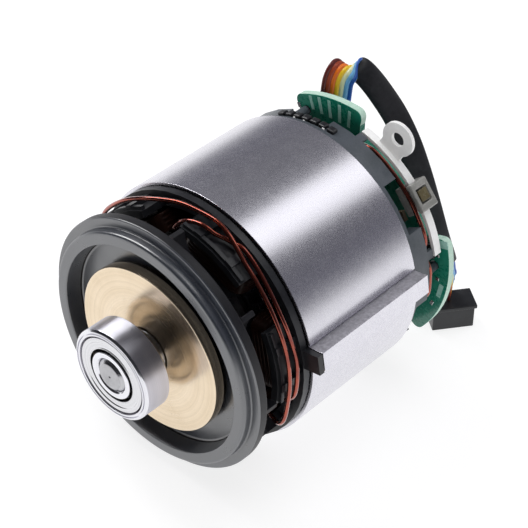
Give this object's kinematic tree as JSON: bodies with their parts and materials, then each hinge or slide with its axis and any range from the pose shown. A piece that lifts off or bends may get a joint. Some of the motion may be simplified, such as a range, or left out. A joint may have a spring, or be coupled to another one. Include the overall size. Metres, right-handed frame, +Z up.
{
  "type": "power tool motor",
  "caption": "Brushless inner-rotor motor for a cordless tool: laminated stator with wound coils, shaft with fan and ball bearings, ring lugs and a sensor board with a plugged flat cable.",
  "frame": {"origin": "centre of the shaft's front end face, which shows inside the front bearing", "axes": "+Y runs along the shaft from the fan end to the sensor board; +Z is up with the stator lying on its side; +X is the side of the key that the picture shows"},
  "size_m": [0.0638, 0.0859, 0.058],
  "materials": {
    "lamination_steel": "satin, fine grained ground sheet stack",
    "rotor_steel": "stacked sheet, dull",
    "magnet_plating": "nickel plated",
    "shaft_steel": "ground steel",
    "bearing_steel": "polished steel",
    "shield_steel": "pressed steel",
    "balance_brass": "turned, satin",
    "end_plate_aluminium": "turned",
    "fan_plastic": "moulded, satin charcoal",
    "front_insulator_plastic": "moulded, black",
    "rear_insulator_plastic": "moulded, dark grey",
    "enamelled_copper": "copper under clear red enamel",
    "tinned_copper": "tin plated copper",
    "clip_nylon": "natural nylon",
    "clip_brass": "dull brass",
    "board_laminate": "green solder mask on glass laminate",
    "component_body": "black epoxy",
    "capacitor_ceramic": "fired, tinned ends",
    "cable_sleeve": "flat black sleeve over coloured ribbon",
    "plug_plastic": "moulded, black"
  },
  "bodies": {
    "stator": {"stator_core": "lamination_steel", "front_insulator": "front_insulator_plastic", "rear_insulator": "rear_insulator_plastic", "coil_1": "enamelled_copper", "coil_2": "enamelled_copper", "coil_3": "enamelled_copper", "coil_4": "enamelled_copper", "coil_5": "enamelled_copper", "coil_6": "enamelled_copper", "front_link_wire_1": "enamelled_copper", "front_link_wire_2": "enamelled_copper", "rear_link_wire_1": "enamelled_copper", "rear_link_wire_2": "enamelled_copper", "phase_lug_1": "tinned_copper", "phase_lug_2": "tinned_copper", "phase_lug_3": "tinned_copper", "lead_clip": "clip_nylon", "lead_clip_insert": "clip_brass", "sensor_board": "board_laminate", "hall_sensor_1": "component_body", "hall_sensor_2": "component_body", "hall_sensor_3": "component_body", "capacitor_1": "capacitor_ceramic", "capacitor_2": "capacitor_ceramic", "edge_component": "component_body", "temperature_sensor": "component_body", "sensor_cable": "cable_sleeve", "sensor_plug": "plug_plastic"},
    "rotor": {"shaft": "shaft_steel", "rotor_core": "rotor_steel", "magnet_1": "magnet_plating", "magnet_2": "magnet_plating", "magnet_3": "magnet_plating", "magnet_4": "magnet_plating", "front_end_plate": "end_plate_aluminium", "rear_balance_ring": "balance_brass", "front_balance_disc": "balance_brass", "fan": "fan_plastic", "front_bearing_inner": "bearing_steel", "rear_bearing_inner": "bearing_steel"},
    "front_outer_race": {"front_bearing_outer": "bearing_steel", "front_bearing_front_shield": "shield_steel", "front_bearing_rear_shield": "shield_steel"},
    "front_ball_cage": {"front_bearing_cage": "bearing_steel"},
    "rear_outer_race": {"rear_bearing_outer": "bearing_steel", "rear_bearing_front_shield": "shield_steel", "rear_bearing_rear_shield": "shield_steel"},
    "rear_ball_cage": {"rear_bearing_cage": "bearing_steel"}
  },
  "joints": [
    {"name": "rotor_spin", "type": "hinge", "parent": "stator", "child": "rotor", "pos_m": [0, 0.0401, 0], "axis": [0, 1, 0], "continuous": true},
    {"name": "front_bearing_spin", "type": "hinge", "parent": "rotor", "child": "front_outer_race", "pos_m": [0, 0.00325, 0], "axis": [0, 1, 0], "continuous": true},
    {"name": "front_cage_spin", "type": "hinge", "parent": "rotor", "child": "front_ball_cage", "pos_m": [0, 0.00325, 0], "axis": [0, 1, 0], "continuous": true},
    {"name": "rear_bearing_spin", "type": "hinge", "parent": "rotor", "child": "rear_outer_race", "pos_m": [0, 0.0706, 0], "axis": [0, 1, 0], "continuous": true},
    {"name": "rear_cage_spin", "type": "hinge", "parent": "rotor", "child": "rear_ball_cage", "pos_m": [0, 0.0706, 0], "axis": [0, 1, 0], "continuous": true}
  ],
  "couplings": [
    {"joint": "front_cage_spin", "follows": "front_bearing_spin", "ratio": 0.65231},
    {"joint": "rear_cage_spin", "follows": "rear_bearing_spin", "ratio": 0.65231}
  ]
}
